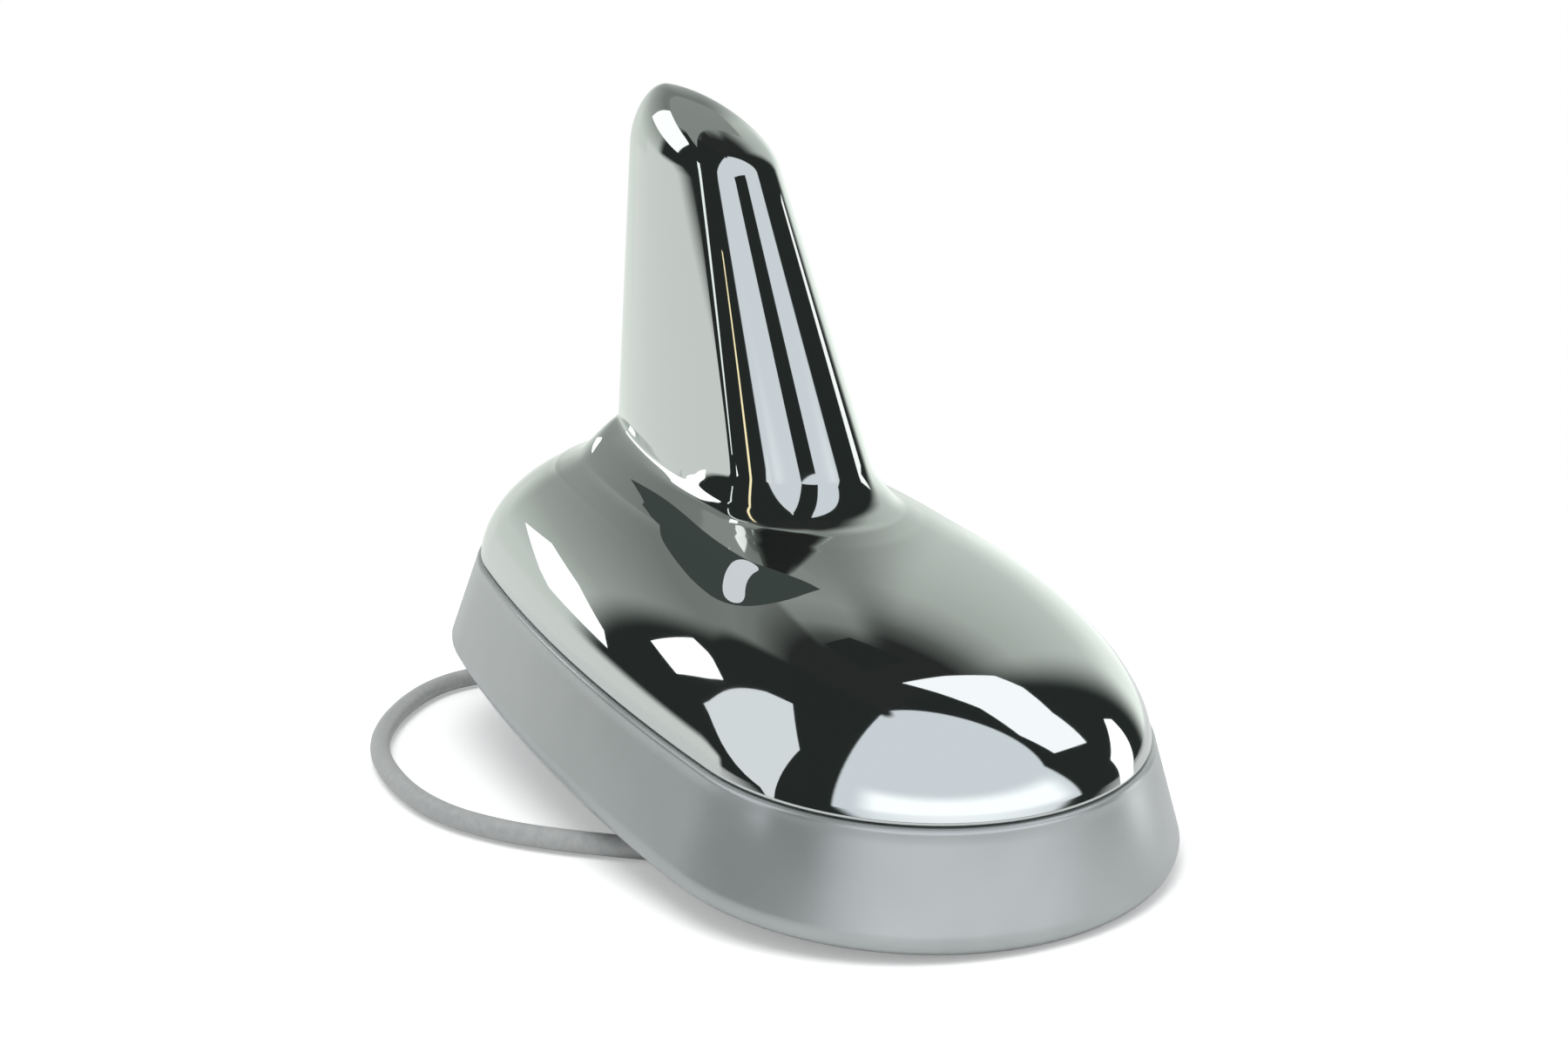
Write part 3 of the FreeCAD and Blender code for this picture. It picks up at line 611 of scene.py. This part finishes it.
skirtRubber = Finish("skirtRubber", Specular_IOR_Level=0.5, Metallic=0.6)
cloud = skirtRubber.noise(55.0, 2.0)
skirtRubber.set(
    Base_Color=skirtRubber.mix(skirtRubber.spread(cloud), (0.40, 0.425, 0.425), (0.46, 0.485, 0.485)),
    Roughness=skirtRubber.clamp(cloud, 0.2, 0.8, 0.27, 0.35))
dress(rubberSkirt, skirtRubber)

jacket = Finish("leadJacket", Specular_IOR_Level=0.5)
streak = jacket.noise(900.0, 3.0)
jacket.set(Base_Color=jacket.mix(jacket.spread(streak), (0.36, 0.37, 0.37), (0.43, 0.44, 0.435)),
           Roughness=jacket.spread(streak, 0.35, 0.5))
dress(coaxLead, jacket)


def grainy(name, dark, light, scale, rough, metallic=0.0, bumpBy=0.0):
    detail, bumpDepth = 5.0, 0.0002
    finish = Finish(name, Metallic=metallic)
    grain = finish.noise(scale, detail)
    finish.set(Base_Color=finish.mix(finish.spread(grain), dark, light), Roughness=finish.spread(grain, *rough))
    if bumpBy:
        finish.set(Normal=finish.bump(grain, bumpBy, bumpDepth))
    return finish


dieCast = grainy("dieCast", (0.50, 0.51, 0.52), (0.62, 0.63, 0.64), 700.0, (0.38, 0.55), 0.85, 0.25)
zincSteel = grainy("zincSteel", (0.55, 0.56, 0.55), (0.68, 0.68, 0.64), 500.0, (0.22, 0.36), 1.0, 0.08)
sealRubber = grainy("sealRubber", (0.03, 0.03, 0.03), (0.06, 0.06, 0.06), 900.0, (0.55, 0.75), 0.0, 0.2)
boardGreen = grainy("boardGreen", (0.02, 0.14, 0.05), (0.03, 0.2, 0.08), 300.0, (0.3, 0.45))
patchCeramic = grainy("patchCeramic", (0.62, 0.57, 0.48), (0.74, 0.69, 0.6), 600.0, (0.5, 0.7))
tinned = grainy("tinned", (0.68, 0.68, 0.67), (0.8, 0.8, 0.79), 400.0, (0.2, 0.34), 1.0)
chipBlack = grainy("chipBlack", (0.02, 0.02, 0.02), (0.045, 0.045, 0.045), 900.0, (0.4, 0.6), 0.0, 0.15)
clipWhite = grainy("clipWhite", (0.7, 0.7, 0.67), (0.8, 0.8, 0.77), 400.0, (0.35, 0.5))
contactGold = grainy("contactGold", (0.75, 0.55, 0.2), (0.9, 0.7, 0.3), 500.0, (0.18, 0.3), 1.0)

finishes = {
    "base_plate": dieCast, "board_screws": zincSteel, "roof_seal": sealRubber, "cable_grommet": sealRubber,
    "circuit_board": boardGreen, "fin_antenna": boardGreen, "patch_antenna": patchCeramic,
    "patch_pin": tinned, "shield_can": tinned, "chip_parts": chipBlack, "fin_board_clips": clipWhite,
    "coax_lead_in": jacket, "plug_ferrule": tinned, "plug_contact": contactGold,
}
for name, finish in finishes.items():
    dress(nodes[name], finish)
for piece, finish in ((roofStud, zincSteel), (housingScrews, zincSteel), (plugShell, chipBlack)):
    dress(piece, finish)
print("finishes on", len(finishes))

# Stage: a pale patch of floor under toe and stud, fading out at its edge
stageSpec = {
    "size": 520.0, "cells": 8, "centreY": 60.0, "sink": 0.35, "fadeFrom": 0.12, "fadeTo": 0.24,
    "white": (0.88, 0.88, 0.88), "lift": 0.28,
}


def makeFloor(spec):
    clearChoice()
    bpy.ops.mesh.primitive_grid_add(x_subdivisions=spec["cells"], y_subdivisions=spec["cells"],
                                    size=spec["size"] * mm)
    floor = bpy.context.active_object
    floor.name = "paleFloor"
    for vert in floor.data.vertices:
        vert.co.y += spec["centreY"] * mm
        vert.co.z = -lead["restSlope"] * (vert.co.y - lead["restFront"] * mm) - spec["sink"] * mm
    pale = Finish("paleFloor", Base_Color=spec["white"], Roughness=0.9, Specular_IOR_Level=0.1)
    point = pale.node("TexCoord", {}, {}, out="Object")
    away = pale.node("VectorMath", {"operation": "LENGTH"}, {0: point}, out="Value")
    clear = pale.node("BsdfTransparent", {}, {})
    seen = pale.node("LightPath", {}, {}, out="Is Camera Ray")
    below = pale.node("NewGeometry", {}, {}, out="Backfacing")  # seen from underneath, the floor gives way
    lift = pale.node("Emission", {}, {"Color": (1.0, 1.0, 1.0), "Strength": seen * spec["lift"]})
    lit = pale.node("AddShader", {}, {0: Val(pale, pale.shader.outputs[0]), 1: lift})
    gone = pale.clamp(away, spec["fadeFrom"], spec["fadeTo"]) + below
    fade = pale.node("MixShader", {}, {0: gone, 1: lit, 2: clear})
    pale.tree.links.new(fade.socket, pale.out.inputs[0])
    dress(floor, pale)


makeFloor(stageSpec)
print("floor laid")

# World: white to the camera, an even pale room for the light, and a studio round about for what shines
room = {
    "even": (0.60, 0.61, 0.615), "dark": (0.030, 0.036, 0.034), "wallTint": (0.98, 1.04, 0.99),
    "wallFoot": -20.0, "wallHead": 70.0,
    # walls: azimuth from the front, positive to the right, its softness, then elevation and level
    "walls": [
        ((140, 188), 18, [(-20, 0.95), (2, 0.78), (14, 0.46), (31, 0.27), (45, 0.34), (55, 0.42),
                          (61, 0.32), (65, 0.12), (69, 0.036)]),
        ((-188, -151), 6, [(-20, 0.95), (2, 0.86), (14, 0.52), (31, 0.28), (45, 0.30), (54, 0.26),
                           (59, 0.17), (66, 0.036)]),
        ((106, 141), 14, [(-20, 1.4), (8, 1.15), (22, 0.8), (37, 0.70), (45, 0.62), (51, 0.42),
                          (57, 0.16), (62, 0.036)]),
    ],
    "leanFrom": 42.0, "zenith": 90.0,
    # panes: azimuth, elevation, softness, colour, and how far the right edge leans out above leanFrom
    "panes": [
        ((-182, -126), (-40, -4), 4, (0.95, 0.97, 0.95), 0.0),
        ((-66, 50), (4, 88), 2, (1.02, 1.06, 1.14), 0.86),
        ((-52, 44), (8, 34), 14, (1.75, 1.76, 1.82), 0.0),
    ],
}


def makeWorld(spec):
    world = bpy.data.worlds.new("studioRoom")
    bpy.context.scene.world = world
    world.use_nodes = True
    book = NodeBook(world.node_tree)
    way = book.node("TexCoord", {}, {}, out="Generated")
    split = book.node("SeparateXYZ", {}, {0: way}, out=None)
    x, y, z = (Val(book, split.outputs[k]) for k in range(3))
    degree = math.degrees(1.0)
    azimuth = book.node("Math", {"operation": "ARCTAN2"}, {0: x, 1: 0.0 - y}) * degree
    elevation = book.node("Math", {"operation": "ARCSINE"}, {0: z}) * degree

    colour = spec["dark"]
    foot, head = spec["wallFoot"], spec["wallHead"]
    climb = book.clamp(elevation, foot, head)
    for (left, right), soft, levels in spec["walls"]:
        stops = [((el - foot) / (head - foot), tuple(level * c for c in spec["wallTint"])) for el, level in levels]
        wall = book.node("ValToRGB", {"stops": stops}, {0: climb})
        for turn in (-360, 0, 360):
            colour = book.mix(book.band(azimuth, left + turn, right + turn, soft), colour, wall)
    leanFrom, zenith = spec["leanFrom"], spec["zenith"]
    for (left, right), (low, high), soft, tint, lean in spec["panes"]:
        leant = azimuth - book.clamp(elevation, leanFrom, zenith, 0.0, (zenith - leanFrom) * lean)
        inLeft = book.clamp(azimuth, left - soft / 2, left + soft / 2, soft=True)
        inRight = book.clamp(leant, right - soft / 2, right + soft / 2, 1.0, 0.0, soft=True)
        colour = book.mix(inLeft * inRight * book.band(elevation, low, high, soft), colour, tint)
    ray = book.node("LightPath", {}, {}, out=None)
    even = book.node("Background", {}, {"Color": spec["even"], "Strength": 1.0})
    studio = book.node("Background", {}, {"Color": colour, "Strength": 1.0})
    white = book.node("Background", {}, {"Color": (1.0, 1.0, 1.0), "Strength": 1.0})
    shine = book.node("MixShader", {}, {0: Val(book, ray.outputs["Is Glossy Ray"]), 1: even, 2: studio})
    seen = book.node("MixShader", {}, {0: Val(book, ray.outputs["Is Camera Ray"]), 1: shine, 2: white})
    book.node("OutputWorld", {}, {0: seen}, out=None)


makeWorld(room)
print("room painted")


# An upright band beside the fin's left: edges are pairs of height and gap from the fin's outline
def finBand(level, edges, first, last, stride):
    a, b, w, n, m = finExtents(level)
    c = shell["crown"]
    sides = []
    for z, gap in edges:
        ring = eggPoints(c - a - gap, c + b + gap, w + gap, n + gap, m + gap, shell["counts"])
        sides.append([(x, y, z) for x, y in ring[first:last:stride]])
    return sides[0] + sides[1][::-1]


# Cards that only glossy rays see: windows, bright lines and dark shapes about the shell.
# Climb is the range of a ray's rise in which a card shows, soft its margin, rounds the corner cutting
cards = {
    "rootGlow": {
        "corners": finBand(35.5, [(34.8, 6.9), (37.4, 6.6)], 74, 130, 5),
        "colour": (1, 1, 1), "strength": 2.2, "climb": (0.0, 0.36),
    },
    # the corner at each tip stands twice, so that it stays sharp
    "rootLeaf": {
        "corners": [(-14.3, 19.1, 34.3), (-14.3, 19.1, 34.3), (-16.3, 10.5, 33.6), (-19.6, 0.7, 32.3),
                    (-21.1, -6.6, 31.5), (-21.8, -12.2, 31.0), (-21.9, -18.1, 30.9), (-19.9, -22.7, 32.0),
                    (-15.4, -25.4, 33.2), (-10.0, -25.8, 34.0), (-10.0, -25.8, 34.0), (-10.8, -23.4, 34.3),
                    (-12.8, -19.1, 34.6), (-14.6, -15.2, 34.5), (-15.4, -10.2, 34.4), (-15.3, -4.2, 34.4),
                    (-14.7, 2.8, 34.7), (-14.3, 9.9, 34.7)],
        "colour": (0.075, 0.092, 0.086), "strength": 1.0, "climb": (0.4, 1.0), "rounds": 2,
    },
    "leafPatch": {
        "corners": [(-20.4, -18.8, 30.2), (-18.2, -15.9, 31.6), (-16.6, -15.0, 32.5), (-15.4, -15.3, 32.9),
                    (-14.7, -16.9, 33.0), (-14.6, -19.2, 32.8), (-16.1, -19.2, 32.3), (-17.6, -20.3, 31.6),
                    (-19.3, -22.9, 30.6), (-20.5, -21.5, 30.1)],
        "colour": (0.98, 0.98, 1.06), "strength": 1.05, "climb": (0.4, 1.0), "rounds": 2,
    },
    "flankWall": {
        "corners": [(-30, 8, 33), (-30, 13, 45), (-30, 31, 75), (-30, 37, 85), (-30, 110, 85), (-30, 110, 33)],
        "colour": (0.95, 0.97, 0.95), "strength": 1.0, "climb": (-0.5, 0.035), "soft": 0.07,
    },
    "rightEdge": {
        "corners": [(20, -13.5, 41.8), (20, -9.2, 41.8), (20, 1.1, 58.8), (20, 11.4, 75.8), (20, 9.0, 75.8),
                    (20, -2.4, 58.8)],
        "colour": (1, 1, 1), "strength": 1.6, "climb": (0.0, 0.38),
    },
    "leftWindow": {
        "corners": [(-45, -10.4, 24.7), (-45, -21.4, 57.4), (-45, -28.9, 69.6), (-45, -44.3, 40.5),
                    (-45, -42.8, 11.5)],
        "colour": (0.98, 1.0, 1.05), "strength": 1.15,
    },
    "upperWindow": {
        "corners": [(-3, -40, 60), (9, -40, 60), (24, -41, 60), (32, -45, 60), (42, -55, 60), (71, -72, 60),
                    (41, -78, 60), (23, -65, 60), (13, -52, 60), (4, -45, 60)],
        "colour": (1.0, 1.0, 1.04), "strength": 1.6,
    },
    "rightStrip": {
        "corners": [(70, -52, 47), (70, -50, 41), (70, -61, -5), (70, -73, -1), (70, -73, 33)],
        "colour": (1, 1, 1), "strength": 2.2,
    },
    "warmLine": {
        "corners": [(-20, -7.4, 41.5), (-20, -6.3, 41.5), (-20, 5.6, 72), (-20, 4.8, 72)],
        "colour": (1.0, 0.84, 0.52), "strength": 1.7,
    },
    "edgeLine": {
        "corners": [(-20, 2.0, 41), (-20, 2.6, 41), (-20, 22.2, 84), (-20, 19.4, 84)],
        "colour": (0.95, 1.0, 1.0), "strength": 1.5,
    },
    "topGrey": {
        "corners": [(-22, 31, 105), (22, 31, 105), (22, 110, 105), (-22, 110, 105)],
        "colour": (0.37, 0.39, 0.37), "strength": 1.0, "climb": (0.57, 1.0),
    },
    "tipGlow": {
        "corners": [(-26, 41.5, 84), (-10, 50.5, 84), (-10, 50.5, 97), (-26, 41.5, 97)],
        "colour": (1, 1, 1), "strength": 1.7,
    },
    "smallWindow": {
        "corners": [(-45, 12.3, 30.7), (-45, 10.8, 42.9), (-45, -10.2, 38.7), (-45, -0.2, 27.2)],
        "colour": (1, 1, 1), "strength": 2.2,
    },
    "sideSliver": {
        "corners": [(-34, 68.3, 28.1), (-34, 46.5, 29), (-34, 22.5, 25.2), (-34, 5.4, 21.1), (-34, 0, 18),
                    (-34, 6.7, 17.9), (-34, 18.7, 18), (-34, 37.5, 21.3)],
        "colour": (1, 1, 1), "strength": 2.2, "climb": (0.0, 1.0),
    },
    "finFlag": {
        "corners": [(-9.5, -34, 60), (3.5, -34, 60), (3.5, -8, 98), (-9.5, -8, 98)],
        "colour": (0.03, 0.036, 0.034), "strength": 1.0,
    },
}
sharpMargin = 0.001


# Each round cuts every corner at a quarter of its two edges
def roundedCorners(corners, rounds):
    places = [Vector(corner) for corner in corners]
    for step in range(rounds):
        pairs = zip(places, places[1:] + places[:1])
        places = [a.lerp(b, part) for a, b in pairs for part in (0.25, 0.75)]
    return places


def makeCard(name, spec):
    clearChoice()
    corners = roundedCorners(spec["corners"], spec.get("rounds", 0))
    bpy.ops.mesh.primitive_circle_add(vertices=len(corners), radius=starter, fill_type="NGON")
    card = bpy.context.active_object
    card.name = name
    for vert, place in zip(card.data.vertices, corners):
        vert.co = place * mm
    glow = Finish(name)
    light = glow.node("Emission", {}, {"Color": spec["colour"], "Strength": spec["strength"]})
    if "climb" in spec:
        low, high = spec["climb"]
        soft = spec.get("soft", sharpMargin)
        backward = glow.node("NewGeometry", {}, {}, out="Incoming")
        climb = 0.0 - glow.node("SeparateXYZ", {}, {0: backward}, out=2)
        caught = glow.clamp(climb, low, low + soft) * glow.clamp(climb, high, high + soft, 1.0, 0.0)
        clear = glow.node("BsdfTransparent", {}, {})
        light = glow.node("MixShader", {}, {0: caught, 1: clear, 2: light})
    glow.tree.links.new(light.socket, glow.out.inputs[0])
    dress(card, glow)
    card.visible_camera = card.visible_diffuse = card.visible_shadow = card.visible_transmission = False


for name, spec in cards.items():
    makeCard(name, spec)
print("cards hung", len(cards))

# Soft box: its place, what it aims at, its size and power
softBoxes = {
    "topBox": {"place": (-150, -50, 620), "aim": (0, 0, 30), "size": (420, 420), "power": 2.2},
}


def makeSoftBox(name, spec):
    clearChoice()
    bpy.ops.object.light_add(type="AREA", location=Vector(spec["place"]) * mm)
    lamp = bpy.context.active_object
    lamp.name = name
    lamp.data.shape = "RECTANGLE"
    lamp.data.size, lamp.data.size_y = (v * mm for v in spec["size"])
    lamp.data.energy = spec["power"]
    toward = Vector(spec["aim"]) * mm - lamp.location
    lamp.rotation_euler = toward.to_track_quat("-Z", "Y").to_euler()
    lamp.visible_camera = lamp.visible_glossy = False


for name, spec in softBoxes.items():
    makeSoftBox(name, spec)
print("light set", len(softBoxes))

bpy.context.scene.view_settings.view_transform = "Standard"
